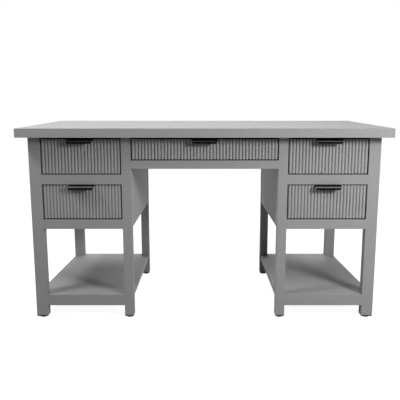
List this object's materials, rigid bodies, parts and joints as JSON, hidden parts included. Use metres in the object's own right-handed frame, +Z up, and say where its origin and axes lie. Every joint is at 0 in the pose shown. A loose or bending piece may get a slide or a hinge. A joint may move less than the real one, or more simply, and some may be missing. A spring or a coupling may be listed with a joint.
{
  "type": "computer desk",
  "caption": "Painted double-pedestal computer desk with an overhanging top, sliding reeded drawers with metal lip pulls, low open shelves and an open kneehole.",
  "frame": {"origin": "on the floor, at the middle of the desk's footprint", "axes": "+Z up, the drawers face -Y, +X to the right seen from the front"},
  "size_m": [1.4, 0.7, 0.75],
  "materials": {
    "grey_paint": "satin painted, opaque",
    "bare_wood": "planed, clear sealed",
    "dark_bronze": "dark bronze, semi-gloss",
    "glide_felt": "black, matt"
  },
  "bodies": {
    "desk_frame": {"centre_back_rail": "grey_paint", "centre_drawer_runners": "bare_wood", "centre_rail": "grey_paint", "desk_top": "grey_paint", "drawer_stops": "bare_wood", "left_back_panel": "grey_paint", "left_drawer_runners": "bare_wood", "left_inner_front_leg": "grey_paint", "left_inner_rear_leg": "grey_paint", "left_inner_side_panel": "grey_paint", "left_lower_rail": "grey_paint", "left_middle_rail": "grey_paint", "left_outer_front_leg": "grey_paint", "left_outer_rear_leg": "grey_paint", "left_outer_side_panel": "grey_paint", "left_shelf": "grey_paint", "left_shelf_rail": "grey_paint", "leg_glides": "glide_felt", "right_back_panel": "grey_paint", "right_drawer_runners": "bare_wood", "right_inner_front_leg": "grey_paint", "right_inner_rear_leg": "grey_paint", "right_inner_side_panel": "grey_paint", "right_lower_rail": "grey_paint", "right_middle_rail": "grey_paint", "right_outer_front_leg": "grey_paint", "right_outer_rear_leg": "grey_paint", "right_outer_side_panel": "grey_paint", "right_shelf": "grey_paint", "right_shelf_rail": "grey_paint"},
    "left_upper_drawer": {"left_upper_drawer_back": "bare_wood", "left_upper_drawer_bottom": "bare_wood", "left_upper_drawer_front": "grey_paint", "left_upper_drawer_left_side": "bare_wood", "left_upper_drawer_pull": "dark_bronze", "left_upper_drawer_right_side": "bare_wood"},
    "left_lower_drawer": {"left_lower_drawer_back": "bare_wood", "left_lower_drawer_bottom": "bare_wood", "left_lower_drawer_front": "grey_paint", "left_lower_drawer_left_side": "bare_wood", "left_lower_drawer_pull": "dark_bronze", "left_lower_drawer_right_side": "bare_wood"},
    "centre_drawer": {"centre_drawer_back": "bare_wood", "centre_drawer_bottom": "bare_wood", "centre_drawer_front": "grey_paint", "centre_drawer_left_side": "bare_wood", "centre_drawer_pull": "dark_bronze", "centre_drawer_right_side": "bare_wood"},
    "right_upper_drawer": {"right_upper_drawer_back": "bare_wood", "right_upper_drawer_bottom": "bare_wood", "right_upper_drawer_front": "grey_paint", "right_upper_drawer_left_side": "bare_wood", "right_upper_drawer_pull": "dark_bronze", "right_upper_drawer_right_side": "bare_wood"},
    "right_lower_drawer": {"right_lower_drawer_back": "bare_wood", "right_lower_drawer_bottom": "bare_wood", "right_lower_drawer_front": "grey_paint", "right_lower_drawer_left_side": "bare_wood", "right_lower_drawer_pull": "dark_bronze", "right_lower_drawer_right_side": "bare_wood"}
  },
  "joints": [
    {"name": "left_upper_drawer_slide", "type": "slide", "parent": "desk_frame", "child": "left_upper_drawer", "axis": [0, -1, 0], "range_m": [0, 0.36]},
    {"name": "left_lower_drawer_slide", "type": "slide", "parent": "desk_frame", "child": "left_lower_drawer", "axis": [0, -1, 0], "range_m": [0, 0.36]},
    {"name": "centre_drawer_slide", "type": "slide", "parent": "desk_frame", "child": "centre_drawer", "axis": [0, -1, 0], "range_m": [0, 0.36]},
    {"name": "right_upper_drawer_slide", "type": "slide", "parent": "desk_frame", "child": "right_upper_drawer", "axis": [0, -1, 0], "range_m": [0, 0.36]},
    {"name": "right_lower_drawer_slide", "type": "slide", "parent": "desk_frame", "child": "right_lower_drawer", "axis": [0, -1, 0], "range_m": [0, 0.36]}
  ]
}
